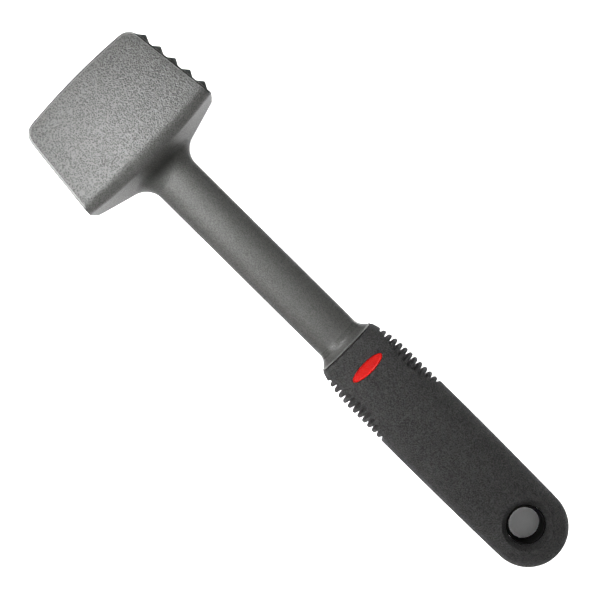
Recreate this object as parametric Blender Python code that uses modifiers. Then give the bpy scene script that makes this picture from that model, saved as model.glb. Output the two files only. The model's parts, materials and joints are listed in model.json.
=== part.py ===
"""Meat mallet: a cast head, neck and tang in one, a rigid core pinned to the tang, a soft grip over it.

Everything is modelled in metres in the mallet's own axes: x runs from the crown of the head to the tip
of the handle, y is the way it strikes (toothed face at +y, smooth face at -y) and z is its thickness,
with the badge at +z. One empty then lays the whole mallet down the way it rests on a table, on its head
and its handle's end.
"""

import math

import bmesh
import bpy
import numpy as np
from mathutils import Matrix, Vector

# Head: a block whose striking faces lean apart towards the handle.
HEAD_HALF_WIDTH = 0.0329  # centre line to the smooth face, at the crown
FACE_SLOPE = 0.1157  # how far a striking face leans out for each unit along x
TOOTHED_SETBACK = 0.0006  # the toothed side's rim is this much lower than the smooth face
HEAD_HALF_DEPTH = 0.0240
CROWN_RADIUS = 0.348  # the far end is slightly crowned across y
CROWN_CORNER = 0.0050  # radius between the crown and the striking faces
BLOCK_EDGE = 0.0012  # radius of the block's other edges
CROWN_SHARES = (0.35, 0.7)  # where the crown's inner rings lie, as shares of its width
CROWN_CORNER_TURNS = (0, 15, 26, 38, 62, 90)  # degrees round the crown's corner
BLOCK_RINGS = (0.016, 0.029)

# Shoulder: it starts in a straight line and rolls over to a crease that bows back at the head's corners.
# Inside the crease the underside rises to the neck like a low, blunt roof.
SHOULDER_START = 0.0415
SHOULDER_RADIUS = 0.0088
SHOULDER_TURN = math.radians(64)
SHOULDER_STEPS = 5
CREASE_BOW = 0.0022
CREASE_BOW_WIDTH = 0.037
CREASE_BOW_POWER = 2.2
UNDERSIDE_RIDGE = 0.0576  # x of the roof's ridge, on the centre line
UNDERSIDE_SLOPE = 0.293
UNDERSIDE_BLUNTNESS = 0.0080
UNDERSIDE_SHARES = (0.75, 0.55, 0.4, 0.28, 0.18, 0.10, 0.04, 0.01, 0.0)  # rings, as shares of the way out
NECK_FILLET_SIDE = 0.0070
NECK_FILLET_FLAT = 0.0065

# Neck and the collar that meets the grip.
NECK_HALF_WIDTH = 0.01105
NECK_HALF_DEPTH = 0.0083
NECK_CORNER = 0.0079
NECK_RINGS = (0.070, 0.100, 0.130)
COLLAR_START = 0.1630
COLLAR_END = 0.1699
COLLAR_HALF_WIDTH = 0.0153
COLLAR_HALF_DEPTH = 0.0110
COLLAR_STEPS = 6

# Teeth: a square field of pyramids, sunk a little into the toothed face.
TEETH_PER_SIDE = 5
TOOTH_PITCH = 0.0082
TOOTH_HEIGHT = 0.0030
TOOTH_SINK = 0.0006
TEETH_CENTRE_X = 0.0253
TEETH_ROOT = 0.0020  # how deep the field's solid reaches into the block
TEETH_TUCK = 0.0002  # how far the outermost flanks run into the block
POCKET_RISE = 0.0040  # height of the cutter that sinks the field

# Tang, inside the handle.
TANG_END = 0.2560
TANG_FRONT = (0.0075, 0.0048)  # half width and half depth
TANG_BACK = (0.0062, 0.0040)
TANG_CORNER = 0.0014
TANG_TIP_CORNER = 0.0005
PIN_X = {"tang_pin_front": 0.2000, "tang_pin_rear": 0.2420}
PIN_RADIUS = 0.0020
PIN_HALF_LENGTH = 0.0094
PIN_CHAMFER = 0.0004

# Grip: its outside, and the fins in an oval hollow on either side.
GRIP_START = 0.1702
GRIP_END_CENTRE = 0.2865
GRIP_END_RADIUS = 0.01855
GRIP_FRONT_HALF_WIDTH = 0.0155
GRIP_HALF_WIDTH = 0.0189
GRIP_SWELL = 0.00025  # extra half width at the middle of the palm
GRIP_FRONT_LENGTH = 0.0220  # over which the front swells to full width
GRIP_FRONT_POWER = 2.4
GRIP_END_EASE_POWER = 8
GRIP_FRONT_HALF_DEPTH = 0.0113
GRIP_HALF_DEPTH = 0.0133
GRIP_DEPTH_PEAK = 0.2120
GRIP_REAR_HALF_DEPTH = 0.0115
DEPTH_FRONT_POWER = 2.2
DEPTH_REAR_POWER = 1.7
DEPTH_END_POWER = 2.6
GRIP_CORNER_SHARE = 0.76  # share of the half width taken by the rounded sides
GRIP_CORNER_HEIGHT = 0.97  # share of the half depth that they take
GRIP_TIP = (0.0012, 0.0009)  # half width and half depth of the last, tiny ring
GRIP_FINE_LENGTH = 0.0240  # over which the rings lie closer together
GRIP_FINE_STEPS = 8
GRIP_BODY_STEPS = 9
GRIP_TIP_STEPS = 9
FIN_PITCH = 0.00312
FIN_THICKNESS = 0.00175
SLOT_FIRST_X = 0.1757
SLOT_COUNT = 12
FIN_HOLLOW_HALF_LENGTH = 0.0212
FIN_HOLLOW_HALF_HEIGHT = 0.0106
FIN_DEPTH = 0.0027
FIN_FADE_POWER = 4  # how late the slots fade out towards their ends
FIN_SLOT_STEPS = 8
FIN_SLOT_HIGHEST = 0.95  # no slot climbs beyond this share of the grip's half depth
FIN_FULL_DEPTH_RATE = 1.6  # how soon the slots reach full depth from the hollow's rim
FIN_SLOT_CLEAR = (0.0040, 1.25)  # how far a cutter stands clear, across y and as a factor across z

# Core, eyelet and badge.
CORE_WALL_SIDE = 0.0043  # from the grip's outside to the core, across y
CORE_WALL_TOP = 0.0031  # the same, across z
CORE_EYE_HALF_DEPTH = 0.0068
CORE_THINS_FROM = 0.2500
CORE_SHOULDER = 0.0006  # extra half width where it starts to thin
CORE_STEPS = 10
CORE_END_TURNS = (20, 40, 58, 74, 84)  # degrees round the core's end
CORE_END_POWER = 0.4
SPACE_FRONT = 0.0020  # how far the cutters for inner spaces stand out in front
CORE_END_CENTRE = 0.2850
CORE_END_RADIUS = 0.0140
HOLE_X = 0.2838
HOLE_RADIUS = 0.0072  # at the eyelet's waist
EYELET_RADIUS = 0.0088
EYELET_LIP_RADIUS = 0.0082  # inside the eyelet's lips
EYELET_HALF_LENGTH = 0.0074
EYELET_WAIST = ((60, -0.62), (0, 0.0), (60, 0.62))  # degrees round the waist, and the share of the height
HOLE_MOUTH_RADIUS = 0.0114
HOLE_MOUTH_DROP = 0.0040
BADGE_X = 0.1822
BADGE_HALF_LENGTH = 0.0089  # across the handle
BADGE_HALF_WIDTH = 0.00257
BADGE_THICKNESS = 0.0016
BADGE_PROUD = 0.00015
BADGE_PLAY = 0.0002  # clearance round the badge in its pocket

GAP = 0.0003  # clearance that separate pieces keep
CLEAR = 0.0200  # height that clears the handle, for cutters
WELD = 0.00001
SHARP_ANGLE = math.radians(32)
ARC_STEPS = 6
FLAT_STEPS = 6
SIDE_STEPS = 2
ROUND_STEPS = 40


# ---------------------------------------------------------------- materials and objects


def material(name, colour, roughness, metallic=0.0):
    made = bpy.data.materials.new(name)
    made.use_nodes = True
    shader = made.node_tree.nodes["Principled BSDF"]
    shader.inputs["Base Color"].default_value = (*colour, 1.0)
    shader.inputs["Roughness"].default_value = roughness
    shader.inputs["Metallic"].default_value = metallic
    return made


def new_collection(name):
    made = bpy.data.collections.new(name)
    bpy.context.scene.collection.children.link(made)
    return made


def add_object(name, bm, collection, finish=None):
    """A new object from a bmesh, with its faces turned outwards and triangulated."""
    bmesh.ops.remove_doubles(bm, verts=bm.verts, dist=WELD)
    bmesh.ops.recalc_face_normals(bm, faces=bm.faces)
    bmesh.ops.triangulate(bm, faces=bm.faces)
    mesh = bpy.data.meshes.new(name)
    bm.to_mesh(mesh)
    bm.free()
    made = bpy.data.objects.new(name, mesh)
    collection.objects.link(made)
    if finish:
        mesh.materials.append(finish)
        mesh.shade_smooth()
        mesh.set_sharp_from_angle(angle=SHARP_ANGLE)
    return made


def boolean(target, other, operation="DIFFERENCE"):
    modifier = target.modifiers.new(f"{operation.lower()}_{other.name}", "BOOLEAN")
    modifier.operation = operation
    modifier.solver = "EXACT"
    modifier.object = other


def hide(helper):
    helper.hide_render = True
    helper.display_type = "WIRE"
    return helper


# ---------------------------------------------------------------- sections and lofts


def section(half_y, half_z, corner_y, corner_z, centre_y=0.0):
    """(y, z) points round a rectangle whose corners are quarter ellipses, counter-clockwise from +y."""
    flat_y, flat_z = half_y - corner_y, half_z - corner_z
    points = []
    for quarter in range(4):
        along_y = 1 if quarter in (0, 3) else -1
        along_z = 1 if quarter in (0, 1) else -1
        for step in range(ARC_STEPS + 1):
            turn = math.radians(90 * (quarter + step / ARC_STEPS))
            y = along_y * flat_y + corner_y * math.cos(turn)
            z = along_z * flat_z + corner_z * math.sin(turn)
            points.append((centre_y + y, z))
        # The flat that follows this corner: top and bottom flats run along y, side flats along z.
        steps = FLAT_STEPS if quarter in (0, 2) else SIDE_STEPS
        last_y, last_z = points[-1]
        if quarter in (0, 2):
            end = (2 * centre_y - last_y, last_z)
        else:
            end = (last_y, -last_z)
        for step in range(1, steps):
            share = step / steps
            points.append((last_y + share * (end[0] - last_y), last_z + share * (end[1] - last_z)))
    return points


def ring(x, points):
    """3-D points of a section. x is a number, or a function of y and z."""
    return [((x(y, z) if callable(x) else x), y, z) for y, z in points]


def loft(rings):
    """A closed bmesh through rings of equal length, capped at both ends."""
    bm = bmesh.new()
    loops = [[bm.verts.new(point) for point in one] for one in rings]
    for near, far in zip(loops, loops[1:]):
        for i in range(len(near)):
            bm.faces.new((near[i - 1], near[i], far[i], far[i - 1]))
    bm.faces.new(loops[0])
    bm.faces.new(loops[-1])
    return bm


def steps_to(last, count):
    """count + 1 even values from 0 to last."""
    return [last * i / count for i in range(count + 1)]


# ---------------------------------------------------------------- casting


def head_half_width(x):
    return HEAD_HALF_WIDTH + FACE_SLOPE * x


def head_section(x, half_width, half_depth):
    corner = min(BLOCK_EDGE, 0.2 * half_width)
    middle = -TOOTHED_SETBACK / 2
    return section(half_width + middle, half_depth, corner, corner, centre_y=middle)


def crown_rings():
    """The crowned far end, its corners, and the small radius where it meets the block's sides."""

    def crown(y):
        return y * y / (2 * CROWN_RADIUS)

    rings = []
    flat_width = HEAD_HALF_WIDTH - CROWN_CORNER
    for share in CROWN_SHARES:
        points = head_section(0, share * flat_width, share * (HEAD_HALF_DEPTH - BLOCK_EDGE))
        rings.append(ring(lambda y, z: crown(y), points))
    for degrees in CROWN_CORNER_TURNS:
        turn = math.radians(degrees)
        depth = CROWN_CORNER * (1 - math.cos(turn))
        short = max(0.0, 1 - depth / BLOCK_EDGE)
        points = head_section(
            depth,
            head_half_width(depth) - CROWN_CORNER * (1 - math.sin(turn)),
            HEAD_HALF_DEPTH - BLOCK_EDGE * (1 - math.sqrt(1 - short * short)),
        )
        rings.append(ring(lambda y, z, depth=depth: depth + crown(y), points))
    return rings


CREASE_HALF_DEPTH = HEAD_HALF_DEPTH - SHOULDER_RADIUS * (1 - math.cos(SHOULDER_TURN))


def crease_bow(y):
    return CREASE_BOW * (abs(y) / CREASE_BOW_WIDTH) ** CREASE_BOW_POWER


def underside(y, z):
    """x of the underside, which falls away evenly from the roof's ridge to the crease."""
    crease = SHOULDER_START + SHOULDER_RADIUS * math.sin(SHOULDER_TURN) - crease_bow(y)
    ridge = UNDERSIDE_RIDGE - UNDERSIDE_SLOPE * (math.hypot(y, UNDERSIDE_BLUNTNESS) - UNDERSIDE_BLUNTNESS)
    return ridge + (crease - ridge) * abs(z) / CREASE_HALF_DEPTH


def underside_with_fillet(y, z):
    """The underside with the neck's fillet, whose radius differs a little between flats and sides."""
    over_y = max(0.0, abs(y) - (NECK_HALF_WIDTH - NECK_CORNER))
    over_z = max(0.0, abs(z) - (NECK_HALF_DEPTH - NECK_CORNER))
    away = math.hypot(over_y, over_z)
    flatness = (over_z / away) ** 2
    radius = NECK_FILLET_SIDE + (NECK_FILLET_FLAT - NECK_FILLET_SIDE) * flatness
    short = max(0.0, radius - max(0.0, away - NECK_CORNER))
    return underside(y, z) + radius - math.sqrt(radius**2 - short**2)


def shoulder_rings():
    """The sides roll over from the block to the crease."""
    rings = []
    for turn in steps_to(SHOULDER_TURN, SHOULDER_STEPS):
        bow_share = turn / SHOULDER_TURN
        middle = SHOULDER_START + SHOULDER_RADIUS * math.sin(turn)
        half_depth = HEAD_HALF_DEPTH - SHOULDER_RADIUS * (1 - math.cos(turn))

        def x_at(y, z, middle=middle, bow_share=bow_share):
            return middle - bow_share * crease_bow(y)

        half_width = head_half_width(x_at(head_half_width(middle), 0))
        rings.append(ring(x_at, head_section(middle, half_width, half_depth)))
    return rings


def underside_rings():
    """From the crease in to the neck, with the fillet where the neck leaves."""
    crease = SHOULDER_START + SHOULDER_RADIUS * math.sin(SHOULDER_TURN)
    edge = head_half_width(crease - crease_bow(head_half_width(crease)))
    rings = []
    for share in UNDERSIDE_SHARES:
        half_width = NECK_HALF_WIDTH + share * (edge - NECK_HALF_WIDTH)
        half_depth = NECK_HALF_DEPTH + share * (CREASE_HALF_DEPTH - NECK_HALF_DEPTH)
        corner = NECK_CORNER + share * (BLOCK_EDGE - NECK_CORNER)
        points = section(half_width, half_depth, corner, corner, centre_y=-share * TOOTHED_SETBACK / 2)
        rings.append(ring(underside_with_fillet, points))
    return rings


def neck_section(widen=0.0, deepen=0.0):
    corner = NECK_CORNER + deepen
    return section(NECK_HALF_WIDTH + widen, NECK_HALF_DEPTH + deepen, corner + (widen - deepen) / 2, corner)


def collar_rings():
    """The neck's end flares out in an arc to the collar's rim."""
    length = COLLAR_END - COLLAR_START

    def arc(rise, x):
        radius = (length**2 + rise**2) / (2 * rise)
        return radius - math.sqrt(radius**2 - (x - COLLAR_START) ** 2)

    rings = []
    for x in [COLLAR_START + part for part in steps_to(length, COLLAR_STEPS)]:
        widen = arc(COLLAR_HALF_WIDTH - NECK_HALF_WIDTH, x)
        deepen = arc(COLLAR_HALF_DEPTH - NECK_HALF_DEPTH, x)
        rings.append(ring(x, neck_section(widen, deepen)))
    return rings


def tang_section(x, grow=0.0):
    share = (x - COLLAR_END) / (TANG_END - COLLAR_END)
    half_y = TANG_FRONT[0] + share * (TANG_BACK[0] - TANG_FRONT[0]) + grow
    half_z = TANG_FRONT[1] + share * (TANG_BACK[1] - TANG_FRONT[1]) + grow
    return ring(x, section(half_y, half_z, TANG_CORNER, TANG_CORNER))


def teeth_frame():
    """The middle of the teeth's base, with y straight out of the leaning toothed face."""
    rim = head_half_width(TEETH_CENTRE_X) - TOOTHED_SETBACK
    lean = Matrix.Rotation(math.atan(FACE_SLOPE), 4, "Z")
    return Matrix.Translation((TEETH_CENTRE_X, rim - TOOTH_SINK, 0)) @ lean


def tooth_field(cutters):
    """One solid with the pyramids on its +z side, made flat and then turned onto the toothed face."""
    cells = 2 * TEETH_PER_SIDE
    bm = bmesh.new()
    bmesh.ops.create_grid(bm, x_segments=cells, y_segments=cells, size=TEETH_PER_SIDE * TOOTH_PITCH / 2)
    for vert in bm.verts:
        column = round(vert.co.x / (TOOTH_PITCH / 2)) + TEETH_PER_SIDE
        row = round(vert.co.y / (TOOTH_PITCH / 2)) + TEETH_PER_SIDE
        if column % 2 and row % 2:
            vert.co.z = TOOTH_HEIGHT
    for face in list(bm.faces):
        tip = next(v for v in face.verts if v.co.z > 0)
        valley = max(face.verts, key=lambda v: (v.co - tip.co).length)
        bmesh.utils.face_split(face, tip, valley)
    rim = [edge for edge in bm.edges if edge.is_boundary]
    skirt = bmesh.ops.extrude_edge_only(bm, edges=rim)["geom"]
    for vert in (item for item in skirt if isinstance(item, bmesh.types.BMVert)):
        vert.co.z = -TEETH_ROOT
    bmesh.ops.edgeloop_fill(bm, edges=[edge for edge in bm.edges if edge.is_boundary])
    made = add_object("tooth_field", bm, cutters)
    made.matrix_world = teeth_frame() @ Matrix.Rotation(math.radians(-90), 4, "X")
    return hide(made)


def field_pocket(cutters):
    """The shallow square that the teeth are sunk in; its floor lies inside the field's solid."""
    side = TEETH_PER_SIDE * TOOTH_PITCH - 2 * TEETH_TUCK
    bm = bmesh.new()
    bmesh.ops.create_cube(bm, size=1, matrix=Matrix.Diagonal((side, POCKET_RISE, side, 1)))
    made = add_object("field_pocket", bm, cutters)
    made.matrix_world = teeth_frame() @ Matrix.Translation((0, (POCKET_RISE - TEETH_ROOT) / 2, 0))
    return hide(made)


def build_casting(parts, cutters, finish):
    """Head, neck, collar and tang are one casting."""
    rings = crown_rings()
    rings += [ring(x, head_section(x, head_half_width(x), HEAD_HALF_DEPTH)) for x in BLOCK_RINGS]
    rings += shoulder_rings() + underside_rings()
    rings += [ring(x, neck_section()) for x in NECK_RINGS]
    rings += collar_rings()
    rings += [tang_section(COLLAR_END), tang_section(TANG_END - TANG_CORNER)]
    tip = section(
        TANG_BACK[0] - TANG_CORNER, TANG_BACK[1] - TANG_CORNER, TANG_TIP_CORNER, TANG_TIP_CORNER
    )
    rings.append(ring(TANG_END, tip))
    casting = add_object("head_casting", loft(rings), parts, finish)
    boolean(casting, field_pocket(cutters))
    boolean(casting, tooth_field(cutters), "UNION")
    for name, x in PIN_X.items():
        boolean(casting, rod(f"tang_hole_{name}", x, PIN_RADIUS + GAP, CLEAR, cutters))
    return casting


# ---------------------------------------------------------------- handle shapes


def grip_half_width(x):
    if x > GRIP_END_CENTRE:
        return math.sqrt(max(0.0, GRIP_END_RADIUS**2 - (x - GRIP_END_CENTRE) ** 2))
    front = max(0.0, 1 - (x - GRIP_START) / GRIP_FRONT_LENGTH)
    narrow = (GRIP_HALF_WIDTH - GRIP_FRONT_HALF_WIDTH) * front**GRIP_FRONT_POWER
    along = (x - GRIP_START) / (GRIP_END_CENTRE - GRIP_START)
    ease = (GRIP_HALF_WIDTH - GRIP_END_RADIUS) * along**GRIP_END_EASE_POWER
    return GRIP_HALF_WIDTH - narrow + GRIP_SWELL * math.sin(math.pi * along) ** 2 - ease


def grip_half_depth(x):
    if x < GRIP_DEPTH_PEAK:
        share = (GRIP_DEPTH_PEAK - x) / (GRIP_DEPTH_PEAK - GRIP_START)
        return GRIP_HALF_DEPTH - (GRIP_HALF_DEPTH - GRIP_FRONT_HALF_DEPTH) * share**DEPTH_FRONT_POWER
    share = (min(x, GRIP_END_CENTRE) - GRIP_DEPTH_PEAK) / (GRIP_END_CENTRE - GRIP_DEPTH_PEAK)
    depth = GRIP_HALF_DEPTH - (GRIP_HALF_DEPTH - GRIP_REAR_HALF_DEPTH) * share**DEPTH_REAR_POWER
    if x > GRIP_END_CENTRE:
        out = (x - GRIP_END_CENTRE) / GRIP_END_RADIUS
        depth *= math.sqrt(max(0.0, 1 - out**DEPTH_END_POWER))
    return depth


def oval(half_width, half_depth):
    return section(half_width, half_depth, GRIP_CORNER_SHARE * half_width, GRIP_CORNER_HEIGHT * half_depth)


def grip_rings(grow=0.0):
    """The grip's outside, from its open front to its rounded tip."""
    body_start = GRIP_START + GRIP_FINE_LENGTH
    places = [GRIP_START + part for part in steps_to(GRIP_FINE_LENGTH, GRIP_FINE_STEPS)]
    places += [body_start + part for part in steps_to(GRIP_END_CENTRE - body_start, GRIP_BODY_STEPS)[1:]]
    for turn in steps_to(math.radians(90), GRIP_TIP_STEPS)[1:-1]:
        places.append(GRIP_END_CENTRE + GRIP_END_RADIUS * math.sin(turn))
    rings = [ring(x, oval(grip_half_width(x) + grow, grip_half_depth(x) + grow)) for x in places]
    rings.append(ring(GRIP_END_CENTRE + GRIP_END_RADIUS, oval(*GRIP_TIP)))
    return rings


def core_rings(grow=0.0):
    """The core follows the grip's outside, thins towards its eye and ends round it."""
    start = GRIP_START - (SPACE_FRONT if grow else 0.0)
    straight = [start + part for part in steps_to(CORE_END_CENTRE - start, CORE_STEPS)]
    rings = []
    for x in straight:
        inner = max(x, GRIP_START)
        share = max(0.0, (inner - CORE_THINS_FROM) / (CORE_END_CENTRE - CORE_THINS_FROM))
        half_depth = grip_half_depth(inner) - CORE_WALL_TOP
        half_depth += (CORE_EYE_HALF_DEPTH - half_depth) * share
        widest = CORE_END_RADIUS + CORE_SHOULDER * (1 - share)
        half_width = min(grip_half_width(inner) - CORE_WALL_SIDE, widest)
        rings.append(ring(x, oval(half_width + grow, half_depth + grow)))
    for degrees in CORE_END_TURNS:
        turn = math.radians(degrees)
        x = CORE_END_CENTRE + (CORE_END_RADIUS + grow) * math.sin(turn)
        half_width = (CORE_END_RADIUS + grow) * math.cos(turn)
        half_depth = (CORE_EYE_HALF_DEPTH + grow) * math.cos(turn) ** CORE_END_POWER
        rings.append(ring(x, oval(half_width, half_depth)))
    return rings


def rod(name, x, radius, half_length, collection, finish=None, chamfer=0.0):
    """A round rod through the handle along z."""
    bm = bmesh.new()
    bmesh.ops.create_cone(
        bm, cap_ends=True, segments=ROUND_STEPS, radius1=radius, radius2=radius, depth=2 * half_length
    )
    if chamfer:
        rims = [edge for edge in bm.edges if abs(edge.verts[0].co.z - edge.verts[1].co.z) < WELD]
        bmesh.ops.bevel(bm, geom=rims, offset=chamfer, segments=1, affect="EDGES")
    made = add_object(name, bm, collection, finish)
    made.location = (x, 0, 0)
    return made if finish else hide(made)


def turned(name, profile, collection, finish=None):
    """A turned piece round the hole's axis, from (radius, z) points that run down its outer side."""
    mesh = bpy.data.meshes.new(name)
    count = len(profile)
    mesh.from_pydata([(r, 0, z) for r, z in profile], [(i, (i + 1) % count) for i in range(count)], [])
    made = bpy.data.objects.new(name, mesh)
    collection.objects.link(made)
    screw = made.modifiers.new("turn", "SCREW")
    screw.steps = screw.render_steps = ROUND_STEPS
    screw.use_merge_vertices = True
    screw.merge_threshold = WELD
    screw.use_smooth_shade = True
    if finish:
        mesh.materials.append(finish)
    made.location = (HOLE_X, 0, 0)
    return made


# ---------------------------------------------------------------- handle pieces


def tang_socket(cutters):
    """The core's blind slot for the tang, a gap larger all round."""
    rings = [tang_section(COLLAR_END - SPACE_FRONT, GAP), tang_section(TANG_END + 2 * GAP, GAP)]
    return hide(add_object("tang_socket", loft(rings), cutters))


def build_core(parts, cutters, finish):
    core = add_object("handle_core", loft(core_rings()), parts, finish)
    boolean(core, tang_socket(cutters))
    for name, x in PIN_X.items():
        boolean(core, rod(f"core_hole_{name}", x, PIN_RADIUS + GAP, CLEAR, cutters))
    boolean(core, rod("core_eye", HOLE_X, EYELET_RADIUS + GAP, CLEAR, cutters))
    return core


def fin_slot(name, x, side, cutters):
    """One of the cuts between the fins: a slab whose inner edge follows the grip's oval at a depth that
    fades out towards the hollow's rim."""
    middle = SLOT_FIRST_X + FIN_PITCH * (SLOT_COUNT - 1) / 2
    rim = 1 - ((x - middle) / FIN_HOLLOW_HALF_LENGTH) ** 2
    reach = FIN_HOLLOW_HALF_HEIGHT * math.sqrt(rim)
    half_width, half_depth = grip_half_width(x), grip_half_depth(x)
    highest = math.asin(min(FIN_SLOT_HIGHEST, reach / half_depth))
    flat = (1 - GRIP_CORNER_SHARE) * half_width
    clear_y, clear_z = FIN_SLOT_CLEAR
    inner, outer = [], []
    for i in range(FIN_SLOT_STEPS + 1):
        height = 2 * i / FIN_SLOT_STEPS - 1
        turn = highest * height
        fade = math.sqrt(1 - height**FIN_FADE_POWER) * min(1.0, FIN_FULL_DEPTH_RATE * math.sqrt(rim))
        y = flat + GRIP_CORNER_SHARE * half_width * math.cos(turn)
        z = half_depth * math.sin(turn)
        inner.append((y - FIN_DEPTH * fade * math.cos(turn), z - FIN_DEPTH * fade * math.sin(turn)))
        outer.append((y + clear_y, z * clear_z))
    bm = bmesh.new()
    half = (FIN_PITCH - FIN_THICKNESS) / 2
    outline = inner + outer[::-1]
    face = bm.faces.new([bm.verts.new((x - half, side * y, z)) for y, z in outline])
    grown = bmesh.ops.extrude_face_region(bm, geom=[face])["geom"]
    for vert in (item for item in grown if isinstance(item, bmesh.types.BMVert)):
        vert.co.x = x + half
    return hide(add_object(name, bm, cutters))


def hole_cutter(cutters):
    """The hole through the grip: straight past the eyelet, then opening to a conical mouth."""
    throat = EYELET_RADIUS + GAP
    start = EYELET_HALF_LENGTH - GAP
    upper = [(throat, start), (HOLE_MOUTH_RADIUS, start + HOLE_MOUTH_DROP), (HOLE_MOUTH_RADIUS, CLEAR)]
    mirrored = [(r, -z) for r, z in upper]
    profile = [(0.0, CLEAR)] + upper[::-1] + mirrored + [(0.0, -CLEAR)]
    mesh = bpy.data.meshes.new("hole_cutter")
    mesh.from_pydata([(r, 0, z) for r, z in profile], [(i, i + 1) for i in range(len(profile) - 1)], [])
    cutter = bpy.data.objects.new("hole_cutter", mesh)
    cutters.objects.link(cutter)
    screw = cutter.modifiers.new("turn", "SCREW")
    screw.steps = screw.render_steps = ROUND_STEPS
    screw.use_merge_vertices = True
    screw.merge_threshold = WELD
    cutter.location = (HOLE_X, 0, 0)
    return hide(cutter)


def badge_prism(name, grow, bottom, collection, finish=None):
    """An upright oval, long across the handle."""
    bm = bmesh.new()
    bmesh.ops.create_cone(bm, cap_ends=True, segments=ROUND_STEPS, radius1=1, radius2=1, depth=1)
    size = (BADGE_HALF_WIDTH + grow, BADGE_HALF_LENGTH + grow, CLEAR - bottom)
    bmesh.ops.scale(bm, vec=size, verts=bm.verts)
    bmesh.ops.translate(bm, vec=(BADGE_X, 0, (CLEAR + bottom) / 2), verts=bm.verts)
    return add_object(name, bm, collection, finish)


def build_grip(parts, cutters, finish):
    grip = add_object("grip_sleeve", loft(grip_rings()), parts, finish)
    boolean(grip, hide(add_object("core_space", loft(core_rings(GAP)), cutters)))
    boolean(grip, hole_cutter(cutters))
    floor = grip_half_depth(BADGE_X) - BADGE_THICKNESS - GAP
    boolean(grip, hide(badge_prism("badge_pocket", BADGE_PLAY, floor, cutters)))
    for side, label in ((1, "toothed"), (-1, "smooth")):
        for number in range(SLOT_COUNT):
            x = SLOT_FIRST_X + FIN_PITCH * number
            boolean(grip, fin_slot(f"fin_slot_{label}_{number + 1}", x, side, cutters))
    return grip


def build_badge(parts, cutters, finish):
    """A thin oval plate whose top follows the grip and stands a little proud of it."""
    badge = badge_prism("badge", 0.0, grip_half_depth(BADGE_X) - BADGE_THICKNESS, parts, finish)
    boolean(badge, hide(add_object("badge_top", loft(grip_rings(BADGE_PROUD)), cutters)), "INTERSECT")
    return badge


def build_eyelet(parts, finish):
    """A hard ring lining the hanging hole: straight outside, narrowest half way through, lips rounded."""
    lip = (EYELET_RADIUS - EYELET_LIP_RADIUS) / 2
    middle = (EYELET_RADIUS + EYELET_LIP_RADIUS) / 2
    straight = EYELET_HALF_LENGTH - lip
    turns = [math.radians(60 * i) for i in range(4)]
    bottom = [(middle + lip * math.cos(turn), -straight - lip * math.sin(turn)) for turn in turns]
    top = [(r, -z) for r, z in bottom[::-1]]
    waist = []
    for degrees, share in EYELET_WAIST:
        narrowing = (EYELET_LIP_RADIUS - HOLE_RADIUS) * math.cos(math.radians(degrees))
        waist.append((EYELET_LIP_RADIUS - narrowing, share * straight))
    return turned("hanging_eyelet", top + bottom + waist, parts, finish)


# ---------------------------------------------------------------- the mallet laid down


def side_points(objects):
    """(x, z) of every point of these objects, in the mallet's axes."""
    graph = bpy.context.evaluated_depsgraph_get()
    found = []
    for obj in objects:
        evaluated = obj.evaluated_get(graph)
        mesh = evaluated.to_mesh()
        points = np.empty(len(mesh.vertices) * 3, np.float32)
        mesh.vertices.foreach_get("co", points)
        world = np.array(evaluated.matrix_world, float)
        found.append(points.reshape(-1, 3) @ world[:3, :3].T + world[:3, 3])
        evaluated.to_mesh_clear()
    return np.concatenate(found)


def resting_matrix(objects):
    """Lays the mallet on z = 0, touching with the head's lower shoulder and the handle's end, with its box
    centred on the origin in x and y."""
    points = side_points(objects)
    head, handle = points[points[:, 0] < COLLAR_START], points[points[:, 0] > COLLAR_START]
    low, high = 0.0, math.radians(10)
    for _ in range(50):
        tilt = (low + high) / 2
        down = np.array([-math.sin(tilt), 0, math.cos(tilt)])
        if (handle @ down).min() > (head @ down).min():
            low = tilt
        else:
            high = tilt
    turned_points = points @ np.array(Matrix.Rotation(tilt, 3, "Y")).T
    lowest, highest = turned_points.min(0), turned_points.max(0)
    middle = (lowest + highest) / 2
    return Matrix.Translation((-middle[0], -middle[1], -lowest[2])) @ Matrix.Rotation(tilt, 4, "Y")


def main():
    for obj in list(bpy.data.objects):
        bpy.data.objects.remove(obj)
    parts, cutters = new_collection("meat_mallet"), new_collection("cutters")
    cast_metal = material("cast_metal", (0.12, 0.12, 0.115), 0.45, 1.0)
    core_plastic = material("core_plastic", (0.02, 0.02, 0.02), 0.35)
    soft_rubber = material("soft_rubber", (0.018, 0.018, 0.018), 0.75)
    eyelet_plastic = material("eyelet_plastic", (0.03, 0.03, 0.028), 0.2)
    badge_red = material("badge_red", (0.75, 0.03, 0.02), 0.3)
    pin_steel = material("pin_steel", (0.55, 0.55, 0.56), 0.3, 1.0)

    made = [
        build_casting(parts, cutters, cast_metal),
        build_core(parts, cutters, core_plastic),
        build_grip(parts, cutters, soft_rubber),
        build_badge(parts, cutters, badge_red),
        build_eyelet(parts, eyelet_plastic),
    ]
    for name, x in PIN_X.items():
        made.append(rod(name, x, PIN_RADIUS, PIN_HALF_LENGTH, parts, pin_steel, PIN_CHAMFER))

    bpy.context.view_layer.update()
    laid_down = bpy.data.objects.new("laid_down", None)
    parts.objects.link(laid_down)
    resting = resting_matrix(made)
    for obj in made + list(cutters.objects):
        obj.parent = laid_down
    laid_down.matrix_world = resting
    bpy.context.view_layer.update()


main()
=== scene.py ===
"""Looks of the meat mallet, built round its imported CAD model.

Every piece is shaped in the mallet's own axes and then laid down where the CAD model lies. In these axes x
runs from the head's crown to the handle's tip, y is the way it strikes, with the teeth at +y, and z is its
thickness, with the badge at +z.
"""

import json
import math

import bmesh
import bpy
import numpy as np
from mathutils import Matrix, Vector


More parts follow.
